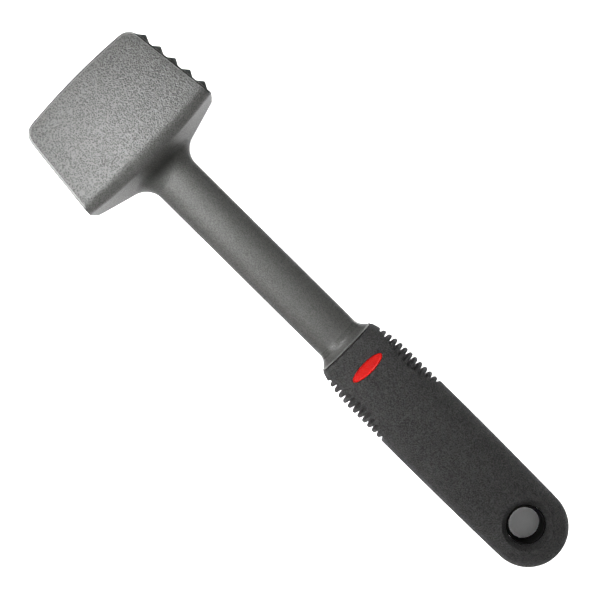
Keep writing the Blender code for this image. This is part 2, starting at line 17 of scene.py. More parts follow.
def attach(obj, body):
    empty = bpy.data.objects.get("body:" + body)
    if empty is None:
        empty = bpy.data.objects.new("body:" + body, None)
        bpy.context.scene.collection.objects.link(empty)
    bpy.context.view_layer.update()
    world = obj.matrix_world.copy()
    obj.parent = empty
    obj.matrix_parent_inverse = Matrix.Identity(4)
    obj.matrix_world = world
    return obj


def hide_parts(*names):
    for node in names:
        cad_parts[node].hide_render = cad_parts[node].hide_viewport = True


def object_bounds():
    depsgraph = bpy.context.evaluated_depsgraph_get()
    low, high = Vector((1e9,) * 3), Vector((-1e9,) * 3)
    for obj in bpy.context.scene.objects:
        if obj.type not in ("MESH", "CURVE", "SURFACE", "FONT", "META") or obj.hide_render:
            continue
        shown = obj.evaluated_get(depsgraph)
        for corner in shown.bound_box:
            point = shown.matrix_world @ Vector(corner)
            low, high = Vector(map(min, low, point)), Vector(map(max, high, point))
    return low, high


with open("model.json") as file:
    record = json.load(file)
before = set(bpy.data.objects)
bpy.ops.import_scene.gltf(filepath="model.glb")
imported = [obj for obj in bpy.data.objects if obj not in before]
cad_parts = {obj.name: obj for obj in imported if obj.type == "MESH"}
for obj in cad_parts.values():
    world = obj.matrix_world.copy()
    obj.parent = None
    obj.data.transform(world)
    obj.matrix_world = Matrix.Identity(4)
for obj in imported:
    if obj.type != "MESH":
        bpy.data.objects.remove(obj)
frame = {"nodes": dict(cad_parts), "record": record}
CAD_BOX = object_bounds()

# ---------------------------------------------------------------- driving dimensions
# Metres. The sizes are the CAD model's. The finer edges, roots and crowned flats are the looks' own.

# Head.
HEAD_HALF_WIDTH = 0.0329
FACE_SLOPE = 0.1157
TOOTHED_SETBACK = 0.0006
HEAD_HALF_DEPTH = 0.0240
CROWN_RADIUS = 0.348
CROWN_CORNER = 0.0050
CROWN_SPAN = (0.05, 0.95)
CROWN_STEPS = 12
CROWN_CORNER_DEGREES = (*range(0, 44, 4), *range(44, 91, 6))
BLOCK_EDGE = 0.0012
BLOCK_EDGE_LIMIT = 0.2
BLOCK_SPAN = (0.007, 0.039)
BLOCK_STEPS = 16
SHOULDER_START = 0.0415
SHOULDER_RADIUS = 0.0088
SHOULDER_TURN = math.radians(64)
SHOULDER_STEPS = 16
CREASE_BOW = 0.0022
CREASE_BOW_WIDTH = 0.037
CREASE_BOW_POWER = 2.2
UNDERSIDE_RIDGE = 0.0576
UNDERSIDE_SLOPE = 0.293
UNDERSIDE_BLUNTNESS = 0.0080
UNDERSIDE_FIRST = 0.94
UNDERSIDE_EASE = 1.5
UNDERSIDE_STEPS = 30
NECK_FILLET_SIDE = 0.0070
NECK_FILLET_FLAT = 0.0065
CREASE_HALF_DEPTH = HEAD_HALF_DEPTH - SHOULDER_RADIUS * (1 - math.cos(SHOULDER_TURN))

# Neck, collar and tang.
NECK_HALF_WIDTH = 0.01105
NECK_HALF_DEPTH = 0.0083
NECK_CORNER = 0.0079
NECK_SOFTNESS = 0.0101
NECK_SPAN = (0.064, 0.160)
NECK_STEPS = 40
COLLAR_START = 0.1630
COLLAR_END = 0.1699
COLLAR_HALF_WIDTH = 0.0153
COLLAR_HALF_DEPTH = 0.0110
COLLAR_ROUND = 0.0005
COLLAR_STEPS = 14
COLLAR_RIM_DEGREES = (20, 40, 60, 80, 90)
TANG_END = 0.2560
TANG_FRONT = (0.0075, 0.0048)
TANG_BACK = (0.0062, 0.0040)
TANG_CORNER = 0.0014
TANG_STEPS = 20
PIN_RADIUS = 0.0020
PIN_X = (0.2000, 0.2420)
PIN_HOLE_HALF_LENGTH = 0.02

# Teeth.
TEETH_PER_SIDE = 5
TOOTH_PITCH = 0.0082
TOOTH_HEIGHT = 0.0030
TOOTH_SINK = 0.0006
TEETH_CENTRE_X = 0.0253
TEETH_ROOT = 0.0020
TEETH_TUCK = 0.0002
TOOTH_ROUNDING = 0.00035
TEETH_POCKET_RISE = 0.004
FLAT_BELOW = math.radians(1)
RIDGE_FROM = math.radians(10)

# Grip.
GRIP_START = 0.1702
GRIP_END_CENTRE = 0.2865
GRIP_END_RADIUS = 0.01855
GRIP_FRONT_HALF_WIDTH = 0.0155
GRIP_HALF_WIDTH = 0.0189
GRIP_SWELL = 0.00025
GRIP_FRONT_LENGTH = 0.0220
GRIP_FRONT_EASE = 2.4
GRIP_END_EASE = 8
GRIP_FRONT_EDGE = 0.0005
GRIP_FRONT_EDGE_DEGREES = (0, 30, 60, 90)
GRIP_FRONT_HALF_DEPTH = 0.0113
GRIP_HALF_DEPTH = 0.0133
GRIP_DEPTH_PEAK = 0.2120
GRIP_REAR_HALF_DEPTH = 0.0115
GRIP_DEPTH_FRONT_EASE = 2.2
GRIP_DEPTH_REAR_EASE = 1.7
GRIP_TIP_POWER = 2.6
GRIP_CORNER_SHARE = 0.76
GRIP_CORNER_HEIGHT = 0.97
GRIP_ARC_STEPS = 14
GRIP_TOP_STEPS = 6
GRIP_FRONT_STEPS = 8
GRIP_BODY_STEPS = 70
GRIP_TIP_STEPS = 26
GRIP_TIP_LAST_DEGREES = 88
FIN_PITCH = 0.00312
SLOT_FIRST_X = 0.1757
SLOT_COUNT = 12
FIN_HOLLOW_HALF_LENGTH = 0.0212
FIN_HOLLOW_HALF_HEIGHT = 0.0106
FIN_HOLLOW_LEAST = 0.12
FIN_DEPTH = 0.0027
FIN_FADE_POWER = 4
FIN_HALF_THICKNESS = 0.00086
FIN_TIP_ROUND = 0.00065
FIN_TIP_DEGREES = (0, 22, 45, 67, 90)
FIN_FLANK_SHARES = (0.33, 0.66)
SLOT_ROOT_RADIUS = 0.00060
SLOT_ROOT_DEGREES = (0, 30, 60, 85)
SLOT_HIGHEST = 0.95

# Core, eyelet and badge.
CORE_WALL_SIDE = 0.0043
CORE_WALL_TOP = 0.0031
CORE_EYE_HALF_DEPTH = 0.0068
CORE_THINS_FROM = 0.2500
CORE_END_CENTRE = 0.2850
CORE_END_RADIUS = 0.0140
CORE_FRONT_OVERRUN = 0.002
CORE_WAIST = 0.0006
CORE_STEPS = 10
CORE_TIP_DEGREES = (20, 40, 58, 74, 84)
CORE_TIP_POWER = 0.4
HOLE_X = 0.2838
HOLE_RADIUS = 0.0072
EYELET_RADIUS = 0.0088
EYELET_LIP_RADIUS = 0.0082
EYELET_HALF_LENGTH = 0.0074
EYELET_LIP_STEPS = 12
EYELET_BORE_STEPS = 24
MOUTH_RADIUS = 0.0114
MOUTH_DROP = 0.0040
MOUTH_STEPS = 6
MOUTH_FLARE = ((0.0020, 0.0030), (0.0006, 0.0003))  # (wider than the mouth, above the grip's surface)
MOUTH_RIM_DROP = 0.0002
THROAT_BELOW_EYELET = 0.0010
BADGE_X = 0.1822
BADGE_HALF_LENGTH = 0.0089
BADGE_HALF_WIDTH = 0.00257
BADGE_THICKNESS = 0.0016
BADGE_PROUD = 0.00015
BADGE_POCKET_CLEAR = 0.0002
BADGE_POCKET_TOP = 0.020
BADGE_UNDERSIDE = ((0.0020, 0.0), (0.0002, 0.0), (0.0, 0.0002))  # (inset, above the badge's underside)
BADGE_RIM = (  # (inset, below the top of the rim)
    (0.0, 0.00020),
    (0.00005, 0.00008),
    (0.00015, 0.0),
    (0.00040, 0.0),
    (0.00050, 0.00003),
    (0.00062, 0.00012),
    (0.00075, 0.00015),
)
BADGE_FIELD_DEPTH = 0.00015
BADGE_FIELD_RISE = 0.00004
BADGE_FIELD_WIDTH = 0.0024
BADGE_FIELD_INSETS = (0.0011, 0.0016, 0.0021)

GAP = 0.0003
WELD = 0.000005
ROUND_STEPS = 96
ROD_SEGMENTS = 64
SHARP_FROM = math.radians(40)
SIDE_MOUNT_X = 0.025

# Where the casting's finish changes, and where painted shade darkens the crease under the head and the
# toothed face.
PEBBLES_END = 0.0500
PEBBLES_FADE = 0.0090
CREASE_X = 0.0540
CREASE_SPREAD = 0.0075
CREASE_HALF_WIDTH = 0.016
CREASE_FULL = 1.3
CREASE_PAINTED_SHADE = 0.95
TOOTHED_DEPTH = 0.0008
TOOTHED_PAST_SHOULDER = 0.005
TOOTHED_PAINTED_SHADE = 0.55
POLISHED_X = 0.1650
POLISHED_SPREAD = 0.0018
POLISHED_FULL = 1.5
# The head's edges and the collar rim are lightened: partly rubbed wear, partly a painted highlight along
# them.
EDGE_LIGHTENING_FROM = 0.10  # radians between two faces
EDGE_LIGHTENING_RANGE = 0.15
EDGE_LIGHTENING_NEAR_SIDE = 0.0005
COLLAR_RIM = (0.0008, 0.0001)
COLLAR_RIM_LIGHTENING = 0.35

# Floor, light and camera.
FLOOR_HALF_SIZE = 2.5
FLOOR_CLEARANCE = 0.00003
STUDIO_LEVELS = (  # (direction, from -1 straight down to 1 straight up, brightness)
    (-1.0, 0.1),
    (-0.972, 0.1),
    (-0.94, 4.0),
    (-0.86, 3.8),
    (-0.70, 0.4),
    (-0.40, 0.04),
    (0.0, 0.03),
    (0.45, 0.06),
    (1.0, 0.12),
)
HEAD_MIDDLE = (-0.118, -0.007, 0.05)
CAMERA_LENS = 123.72
CAMERA_SENSOR = 36
CAMERA_CLIP = 0.05
CAMERA_PLACE = (-0.01198, -0.000294, 0.95)
CAMERA_TURN = math.radians(44.71)


# ---------------------------------------------------------------- the mallet's own axes


def mount(name):
    return next(m for m in frame["record"]["mounts"] if m["name"] == name)


def laid_down():
    """The mallet's axes in the row frame, from the mount in the middle of the head's lower side face."""
    side = mount("head_side_face")
    z = -Vector(side["axis"]).normalized()
    y = Vector((0, 1, 0))
    x = y.cross(z)
    turn = Matrix((x, y, z)).transposed()
    origin = Vector(side["pos_m"]) - turn @ Vector((SIDE_MOUNT_X, 0, -HEAD_HALF_DEPTH))
    return Matrix.Translation(origin) @ turn.to_4x4()


LAID_DOWN = laid_down()


# ---------------------------------------------------------------- making pieces


def add_object(name, bm):
    """An object from a bmesh, which is used up."""
    mesh = bpy.data.meshes.new(name)
    bm.to_mesh(mesh)
    bm.free()
    made = bpy.data.objects.new(name, mesh)
    bpy.context.scene.collection.objects.link(made)
    return made


def clean(bm):
    bmesh.ops.remove_doubles(bm, verts=bm.verts, dist=WELD)
    bmesh.ops.recalc_face_normals(bm, faces=bm.faces)


def finish_piece(name, bm, material, replaced):
    """A piece from a bmesh in the mallet's axes: laid down, smooth-shaded, riding on the body."""
    clean(bm)
    bmesh.ops.transform(bm, matrix=LAID_DOWN, verts=bm.verts)
    piece = add_object(name, bm)
    piece.data.materials.append(material)
    piece.data.shade_smooth()
    piece.data.set_sharp_from_angle(angle=SHARP_FROM)
    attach(piece, "root")
    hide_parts(replaced)
    return piece


def helper(name, bm):
    """A temporary object for a Boolean, in the mallet's axes."""
    clean(bm)
    return add_object(name, bm)


def combined(base, steps):
    """The bmesh of a base after its Booleans, given as (operation, bmesh). No helper is left behind."""
    target = helper("combining", base)
    others = []
    for number, (operation, bm) in enumerate(steps):
        other = helper(f"combining_{number}", bm)
        modifier = target.modifiers.new(other.name, "BOOLEAN")
        modifier.operation = operation
        modifier.solver = "EXACT"
        modifier.object = other
        others.append(other)
    graph = bpy.context.evaluated_depsgraph_get()
    evaluated = target.evaluated_get(graph)
    result = bmesh.new()
    result.from_mesh(evaluated.to_mesh())
    evaluated.to_mesh_clear()
    for made in [target] + others:
        mesh = made.data
        bpy.data.objects.remove(made)
        bpy.data.meshes.remove(mesh)
    return result


def between(first, last, count):
    """count + 1 even values from first to last."""
    return [first + (last - first) * i / count for i in range(count + 1)]


def section(half_y, half_z, corner_y, corner_z, centre_y=0.0, arc=8, flat=30, side=20):
    """(y, z) points round a rectangle whose corners are quarter ellipses, counter-clockwise from +y."""
    points = []
    for quarter in range(4):
        along_y = 1 if quarter in (0, 3) else -1
        along_z = 1 if quarter in (0, 1) else -1
        for step in range(arc + 1):
            turn = math.radians(90 * (quarter + step / arc))
            y = along_y * (half_y - corner_y) + corner_y * math.cos(turn)
            z = along_z * (half_z - corner_z) + corner_z * math.sin(turn)
            points.append((centre_y + y, z))
        last_y, last_z = points[-1]
        if quarter in (0, 2):
            end, steps = (2 * centre_y - last_y, last_z), flat
        else:
            end, steps = (last_y, -last_z), side
        for step in range(1, steps):
            share = step / steps
            points.append((last_y + share * (end[0] - last_y), last_z + share * (end[1] - last_z)))
    return points


def round_turns():
    """Even turns all the way round."""
    return [math.radians(360 * i / ROUND_STEPS) for i in range(ROUND_STEPS)]


def ring(x, points):
    """3-D points of a section. x is a number, or a function of y and z."""
    return [((x(y, z) if callable(x) else x), y, z) for y, z in points]


def loft(rings):
    """A closed bmesh through rings of equal length, capped at both ends."""
    bm = bmesh.new()
    loops = [[bm.verts.new(point) for point in one] for one in rings]
    for near, far in zip(loops, loops[1:]):
        for i in range(len(near)):
            bm.faces.new((near[i - 1], near[i], far[i], far[i - 1]))
    bm.faces.new(loops[0])
    bm.faces.new(loops[-1])
    return bm


def rod(x, radius, half_length):
    """A round rod along z, for holes."""
    bm = bmesh.new()
    bmesh.ops.create_cone(
        bm,
        cap_ends=True,
        segments=ROD_SEGMENTS,
        radius1=radius,
        radius2=radius,
        depth=2 * half_length,
        matrix=Matrix.Translation((x, 0, 0)),
    )
    return bm


# ---------------------------------------------------------------- the casting


def head_half_width(x):
    return HEAD_HALF_WIDTH + FACE_SLOPE * x


def head_section(x, half_width, half_depth):
    corner = min(BLOCK_EDGE, BLOCK_EDGE_LIMIT * half_width)
    middle = -TOOTHED_SETBACK / 2
    return section(half_width + middle, half_depth, corner, corner, centre_y=middle)


def crown(y, z):
    return y * y / (2 * CROWN_RADIUS)


def crown_rings():
    """The crowned far end, out to its rounded corners."""
    rings = []
    for share in between(*CROWN_SPAN, CROWN_STEPS):
        half_width = share * (HEAD_HALF_WIDTH - CROWN_CORNER)
        points = head_section(0, half_width, share * (HEAD_HALF_DEPTH - BLOCK_EDGE))
        rings.append(ring(crown, points))
    for degrees in CROWN_CORNER_DEGREES:
        turn = math.radians(degrees)
        depth = CROWN_CORNER * (1 - math.cos(turn))
        short = max(0.0, 1 - depth / BLOCK_EDGE)
        points = head_section(
            depth,
            head_half_width(depth) - CROWN_CORNER * (1 - math.sin(turn)),
            HEAD_HALF_DEPTH - BLOCK_EDGE * (1 - math.sqrt(1 - short * short)),
        )
        rings.append(ring(lambda y, z, depth=depth: depth + crown(y, z), points))
    return rings


def crease_bow(y):
    return CREASE_BOW * (abs(y) / CREASE_BOW_WIDTH) ** CREASE_BOW_POWER


def underside(y, z):
    """x of the underside, which falls away evenly from the roof's ridge to the crease."""
    crease = SHOULDER_START + SHOULDER_RADIUS * math.sin(SHOULDER_TURN) - crease_bow(y)
    ridge = UNDERSIDE_RIDGE - UNDERSIDE_SLOPE * (math.hypot(y, UNDERSIDE_BLUNTNESS) - UNDERSIDE_BLUNTNESS)
    return ridge + (crease - ridge) * abs(z) / CREASE_HALF_DEPTH


def underside_with_fillet(y, z):
    over_y = max(0.0, abs(y) - (NECK_HALF_WIDTH - NECK_CORNER))
    over_z = max(0.0, abs(z) - (NECK_HALF_DEPTH - NECK_CORNER))
    away = math.hypot(over_y, over_z)
    flatness = (over_z / away) ** 2
    radius = NECK_FILLET_SIDE + (NECK_FILLET_FLAT - NECK_FILLET_SIDE) * flatness
    short = max(0.0, radius - max(0.0, away - NECK_CORNER))
    return underside(y, z) + radius - math.sqrt(radius**2 - short**2)


def shoulder_rings():
    """The sides roll over from the block to the crease."""
    rings = []
    for turn in between(0, SHOULDER_TURN, SHOULDER_STEPS):
        bow_share = turn / SHOULDER_TURN
        middle = SHOULDER_START + SHOULDER_RADIUS * math.sin(turn)
        half_depth = HEAD_HALF_DEPTH - SHOULDER_RADIUS * (1 - math.cos(turn))

        def x_at(y, z, middle=middle, bow_share=bow_share):
            return middle - bow_share * crease_bow(y)

        half_width = head_half_width(x_at(head_half_width(middle), 0))
        rings.append(ring(x_at, head_section(middle, half_width, half_depth)))
    return rings


def underside_rings():
    """From the crease in to the neck, with the fillet where the neck leaves."""
    crease = SHOULDER_START + SHOULDER_RADIUS * math.sin(SHOULDER_TURN)
    edge = head_half_width(crease - crease_bow(head_half_width(crease)))
    rings = []
    for step in between(UNDERSIDE_FIRST, 0, UNDERSIDE_STEPS):
        share = step**UNDERSIDE_EASE
        half_width = NECK_HALF_WIDTH + share * (edge - NECK_HALF_WIDTH)
        half_depth = NECK_HALF_DEPTH + share * (CREASE_HALF_DEPTH - NECK_HALF_DEPTH)
        corner_y = NECK_SOFTNESS + share * (BLOCK_EDGE - NECK_SOFTNESS)
        corner_z = NECK_CORNER + share * (BLOCK_EDGE - NECK_CORNER)
        points = section(half_width, half_depth, corner_y, corner_z, centre_y=-share * TOOTHED_SETBACK / 2)
        rings.append(ring(underside_with_fillet, points))
    return rings


def neck_section(widen=0.0, deepen=0.0):
    """The neck is the CAD model's, with its flats crowned a little as a casting's are."""
    corner_y = NECK_SOFTNESS + (widen + deepen) / 2
    return section(NECK_HALF_WIDTH + widen, NECK_HALF_DEPTH + deepen, corner_y, NECK_CORNER + deepen)


def collar_rings():
    """The neck's end flares out in an arc to the collar's rim, which is slightly rounded."""
    length = COLLAR_END - COLLAR_START

    def arc(rise, x):
        radius = (length**2 + rise**2) / (2 * rise)
        return radius - math.sqrt(radius**2 - (x - COLLAR_START) ** 2)

    rings = []
    for x in between(COLLAR_START, COLLAR_END - COLLAR_ROUND, COLLAR_STEPS):
        widen = arc(COLLAR_HALF_WIDTH - NECK_HALF_WIDTH, x)
        deepen = arc(COLLAR_HALF_DEPTH - NECK_HALF_DEPTH, x)
        rings.append(ring(x, neck_section(widen, deepen)))
    for degrees in COLLAR_RIM_DEGREES:
        turn = math.radians(degrees)
        x = COLLAR_END - COLLAR_ROUND * (1 - math.sin(turn))
        inset = COLLAR_ROUND * (1 - math.cos(turn))
        widen = COLLAR_HALF_WIDTH - NECK_HALF_WIDTH - inset
        deepen = COLLAR_HALF_DEPTH - NECK_HALF_DEPTH - inset
        rings.append(ring(x, neck_section(widen, deepen)))
    return rings


def tang_section(x):
    share = (x - COLLAR_END) / (TANG_END - COLLAR_END)
    half_y = TANG_FRONT[0] + share * (TANG_BACK[0] - TANG_FRONT[0])
    half_z = TANG_FRONT[1] + share * (TANG_BACK[1] - TANG_FRONT[1])
    return ring(x, section(half_y, half_z, TANG_CORNER, TANG_CORNER))


def teeth_frame():
    """The middle of the teeth's base, with y straight out of the leaning toothed face."""
    rim = head_half_width(TEETH_CENTRE_X) - TOOTHED_SETBACK
    lean = Matrix.Rotation(math.atan(FACE_SLOPE), 4, "Z")
    return Matrix.Translation((TEETH_CENTRE_X, rim - TOOTH_SINK, 0)) @ lean


def tooth_field():
    """The square field of pyramids, their tips and valleys rounded as a casting's are."""
    cells = 2 * TEETH_PER_SIDE
    bm = bmesh.new()
    bmesh.ops.create_grid(bm, x_segments=cells, y_segments=cells, size=TEETH_PER_SIDE * TOOTH_PITCH / 2)
    for vert in bm.verts:
        column = round(vert.co.x / (TOOTH_PITCH / 2)) + TEETH_PER_SIDE
        row = round(vert.co.y / (TOOTH_PITCH / 2)) + TEETH_PER_SIDE
        if column % 2 and row % 2:
            vert.co.z = TOOTH_HEIGHT
    for face in list(bm.faces):
        tip = next(v for v in face.verts if v.co.z > 0)
        valley = max(face.verts, key=lambda v: (v.co - tip.co).length)
        bmesh.utils.face_split(face, tip, valley)
    rim = [edge for edge in bm.edges if edge.is_boundary]
    skirt = bmesh.ops.extrude_edge_only(bm, edges=rim)["geom"]
    for vert in (item for item in skirt if isinstance(item, bmesh.types.BMVert)):
        vert.co.z = -TEETH_ROOT
    bmesh.ops.edgeloop_fill(bm, edges=[edge for edge in bm.edges if edge.is_boundary])
    bmesh.ops.recalc_face_normals(bm, faces=bm.faces)
    bmesh.ops.dissolve_limit(bm, angle_limit=FLAT_BELOW, verts=bm.verts, edges=bm.edges)
    ridges = [edge for edge in bm.edges if edge.calc_face_angle(0) > RIDGE_FROM]
    ridges = [edge for edge in ridges if max(v.co.z for v in edge.verts) > -TEETH_ROOT / 2]
    bmesh.ops.bevel(
        bm, geom=ridges, offset=TOOTH_ROUNDING, offset_type="OFFSET", segments=3, profile=0.5, affect="EDGES"
    )
    bmesh.ops.transform(bm, matrix=teeth_frame() @ Matrix.Rotation(math.radians(-90), 4, "X"), verts=bm.verts)
    return bm


def field_pocket():
    """The room cut out for the tooth field, a little smaller all round so that the two join."""
    side = TEETH_PER_SIDE * TOOTH_PITCH - 2 * TEETH_TUCK
    bm = bmesh.new()
    place = teeth_frame() @ Matrix.Translation((0, (TEETH_POCKET_RISE - TEETH_ROOT) / 2, 0))
    bmesh.ops.create_cube(bm, size=1, matrix=place @ Matrix.Diagonal((side, TEETH_POCKET_RISE, side, 1)))
    return bm


def make_casting(material):
    rings = crown_rings()
    for x in between(*BLOCK_SPAN, BLOCK_STEPS):
        rings.append(ring(x, head_section(x, head_half_width(x), HEAD_HALF_DEPTH)))
    rings += shoulder_rings() + underside_rings()
    rings += [ring(x, neck_section()) for x in between(*NECK_SPAN, NECK_STEPS)]
    rings += collar_rings()
    rings += [tang_section(x) for x in between(COLLAR_END, TANG_END - TANG_CORNER, TANG_STEPS)]
    end = section(TANG_BACK[0] - TANG_CORNER, TANG_BACK[1] - TANG_CORNER, TANG_CORNER / 3, TANG_CORNER / 3)
    rings.append(ring(TANG_END, end))
    steps = [("DIFFERENCE", field_pocket()), ("UNION", tooth_field())]
    steps += [("DIFFERENCE", rod(x, PIN_RADIUS + GAP, PIN_HOLE_HALF_LENGTH)) for x in PIN_X]
    shape = combined(loft(rings), steps)
    return finish_piece("cast_head_and_neck", shape, material, "head_casting")


# ---------------------------------------------------------------- the handle's shapes


def grip_half_width(x):
    if x > GRIP_END_CENTRE:
        return math.sqrt(max(0.0, GRIP_END_RADIUS**2 - (x - GRIP_END_CENTRE) ** 2))
    front = max(0.0, 1 - (x - GRIP_START) / GRIP_FRONT_LENGTH)
    narrow = (GRIP_HALF_WIDTH - GRIP_FRONT_HALF_WIDTH) * front**GRIP_FRONT_EASE
    along = (x - GRIP_START) / (GRIP_END_CENTRE - GRIP_START)
    ease = (GRIP_HALF_WIDTH - GRIP_END_RADIUS) * along**GRIP_END_EASE
    return GRIP_HALF_WIDTH - narrow + GRIP_SWELL * math.sin(math.pi * along) ** 2 - ease


def grip_half_depth(x):
    if x < GRIP_DEPTH_PEAK:
        share = (GRIP_DEPTH_PEAK - x) / (GRIP_DEPTH_PEAK - GRIP_START)
        return GRIP_HALF_DEPTH - (GRIP_HALF_DEPTH - GRIP_FRONT_HALF_DEPTH) * share**GRIP_DEPTH_FRONT_EASE
    share = (min(x, GRIP_END_CENTRE) - GRIP_DEPTH_PEAK) / (GRIP_END_CENTRE - GRIP_DEPTH_PEAK)
    depth = GRIP_HALF_DEPTH - (GRIP_HALF_DEPTH - GRIP_REAR_HALF_DEPTH) * share**GRIP_DEPTH_REAR_EASE
    if x > GRIP_END_CENTRE:
        out = (x - GRIP_END_CENTRE) / GRIP_END_RADIUS
        depth *= math.sqrt(max(0.0, 1 - out**GRIP_TIP_POWER))
    return depth


def grip_top(x, y):
    """Height of the grip's upper surface over the mallet's middle plane."""
    half_width, half_depth = grip_half_width(x), grip_half_depth(x)
    over = max(0.0, abs(y) - (1 - GRIP_CORNER_SHARE) * half_width) / (GRIP_CORNER_SHARE * half_width)
    return half_depth * math.sqrt(max(0.0, 1 - over * over))


def slot_reach(x):
    """Half the height that the slots take on the grip's side at x: the fins sit in an oval."""
    middle = SLOT_FIRST_X + FIN_PITCH * (SLOT_COUNT - 1) / 2
    rim = 1 - ((x - middle) / FIN_HOLLOW_HALF_LENGTH) ** 2
    return FIN_HOLLOW_HALF_HEIGHT * math.sqrt(max(FIN_HOLLOW_LEAST, rim))


def slot_profile():
    """(offset along x, depth) over half a pitch, from a slot's middle to the tip of its fin: a rounded root,
    a straight flank and a rounded fin."""
    points = []
    for degrees in SLOT_ROOT_DEGREES:
        turn = math.radians(degrees)
        depth = FIN_DEPTH - SLOT_ROOT_RADIUS * (1 - math.cos(turn))
        points.append((SLOT_ROOT_RADIUS * math.sin(turn), depth))
    tip = FIN_PITCH / 2
    mouth = (tip - FIN_HALF_THICKNESS, FIN_TIP_ROUND)
    root = points[-1]
    for share in FIN_FLANK_SHARES:
        points.append((root[0] + share * (mouth[0] - root[0]), root[1] + share * (mouth[1] - root[1])))
    for degrees in FIN_TIP_DEGREES:
        turn = math.radians(degrees)
        points.append((tip - FIN_HALF_THICKNESS * math.cos(turn), FIN_TIP_ROUND * (1 - math.sin(turn))))
    return points


def grip_section(x, depth=0.0, inset=0.0):
    """(y, z) points round the grip at x. depth is how deep a slot cuts in here, on both sides."""
    half_width, half_depth = grip_half_width(x) - inset, grip_half_depth(x) - inset
    flat = (1 - GRIP_CORNER_SHARE) * half_width
    bulge = GRIP_CORNER_SHARE * half_width
    highest = math.asin(min(SLOT_HIGHEST, slot_reach(x) / grip_half_depth(GRIP_DEPTH_PEAK)))
    steps = GRIP_ARC_STEPS
    turns = [highest * math.sin(math.radians(90 * i / steps)) for i in range(steps + 1)]
    turns += [highest + (math.pi / 2 - highest) * i / steps for i in range(1, steps + 1)]
    quarter = []
    for turn in turns:
        fade = math.sqrt(max(0.0, 1 - (turn / highest) ** FIN_FADE_POWER))
        cut = depth * fade
        quarter.append((flat + (bulge - cut) * math.cos(turn), (half_depth - cut) * math.sin(turn)))
    top = [(y, half_depth) for y in between(flat, 0, GRIP_TOP_STEPS)][1:]
    half = quarter + top
    upper = half + [(-y, z) for y, z in half[-2::-1]]
    return upper + [(y, -z) for y, z in upper[-2:0:-1]]


def grip_rings():
    """The grip's outside, from its open front over the slots to its rounded tip."""
    edge = GRIP_FRONT_EDGE
    rings = []
    for degrees in GRIP_FRONT_EDGE_DEGREES:
        turn = math.radians(degrees)
        x = GRIP_START + edge * (1 - math.cos(turn))
        rings.append(ring(x, grip_section(x, inset=edge * (1 - math.sin(turn)))))
    first = SLOT_FIRST_X - FIN_PITCH / 2
    rings += [ring(x, grip_section(x)) for x in between(GRIP_START + edge, first, GRIP_FRONT_STEPS)[1:-1]]
    profile = slot_profile()
    whole = [(-offset, depth) for offset, depth in profile[::-1]] + profile[1:]
    for number in range(SLOT_COUNT):
        centre = SLOT_FIRST_X + FIN_PITCH * number
        for offset, depth in whole if number == 0 else whole[1:]:
            rings.append(ring(centre + offset, grip_section(centre + offset, depth)))
    last = SLOT_FIRST_X + FIN_PITCH * (SLOT_COUNT - 0.5)
    rings += [ring(x, grip_section(x)) for x in between(last, GRIP_END_CENTRE, GRIP_BODY_STEPS)[1:]]
    for degrees in between(0, GRIP_TIP_LAST_DEGREES, GRIP_TIP_STEPS)[1:]:
        x = GRIP_END_CENTRE + GRIP_END_RADIUS * math.sin(math.radians(degrees))
        rings.append(ring(x, grip_section(x)))
    return rings


def core_section(x, half_width, half_depth):
    corner_y = GRIP_CORNER_SHARE * half_width
    corner_z = GRIP_CORNER_HEIGHT * half_depth
    return ring(x, section(half_width, half_depth, corner_y, corner_z, flat=6, side=2))


def core_rings(grow):
    """The space for the core, which follows the grip's outside, thins towards its eye and ends round it."""
    start = GRIP_START - CORE_FRONT_OVERRUN
    rings = []
    for x in between(start, CORE_END_CENTRE, CORE_STEPS):
        inner = max(x, GRIP_START)
        share = max(0.0, (inner - CORE_THINS_FROM) / (CORE_END_CENTRE - CORE_THINS_FROM))
        half_depth = grip_half_depth(inner) - CORE_WALL_TOP
        half_depth += (CORE_EYE_HALF_DEPTH - half_depth) * share
        widest = CORE_END_RADIUS + CORE_WAIST * (1 - share)
        half_width = min(grip_half_width(inner) - CORE_WALL_SIDE, widest)
        rings.append(core_section(x, half_width + grow, half_depth + grow))
    for degrees in CORE_TIP_DEGREES:
        turn = math.radians(degrees)
        x = CORE_END_CENTRE + (CORE_END_RADIUS + grow) * math.sin(turn)
        half_depth = (CORE_EYE_HALF_DEPTH + grow) * math.cos(turn) ** CORE_TIP_POWER
        rings.append(core_section(x, (CORE_END_RADIUS + grow) * math.cos(turn), half_depth))
    return rings


def mouth_cutter():
    """The hole through the grip: straight past the eyelet, then a conical mouth with a softened rim."""
    throat = EYELET_RADIUS + GAP

    def level(radius, height):
        points = []
        for turn in round_turns():
            y = radius * math.sin(turn)
            x = HOLE_X + radius * math.cos(turn)
            points.append((x, y, height(x, y)))
        return points

    half = []
    for wider, rise in MOUTH_FLARE:
        half.append((MOUTH_RADIUS + wider, lambda x, y, rise=rise: grip_top(x, y) + rise))
    for share in between(0, 1, MOUTH_STEPS):
        radius = MOUTH_RADIUS - (MOUTH_RADIUS - throat) * share
        drop = MOUTH_RIM_DROP + MOUTH_DROP * share
        half.append((radius, lambda x, y, drop=drop: grip_top(x, y) - drop))
    half.append((throat, lambda x, y: EYELET_HALF_LENGTH - THROAT_BELOW_EYELET))
    rings = [level(radius, height) for radius, height in half]
    for radius, height in half[::-1]:
        rings.append(level(radius, lambda x, y, height=height: -height(x, y)))
    return loft(rings)


def badge_oval(inset, height):
    """3-D points of the badge's outline. height is a number, or a function of x and y."""
    points = []
    for turn in round_turns():
        x = BADGE_X + (BADGE_HALF_WIDTH - inset) * math.cos(turn)
        y = (BADGE_HALF_LENGTH - inset) * math.sin(turn)
        points.append((x, y, height(x, y) if callable(height) else height))
    return points


def badge_pocket():
    floor = grip_half_depth(BADGE_X) - BADGE_THICKNESS - GAP
    return loft([badge_oval(-BADGE_POCKET_CLEAR, BADGE_POCKET_TOP), badge_oval(-BADGE_POCKET_CLEAR, floor)])


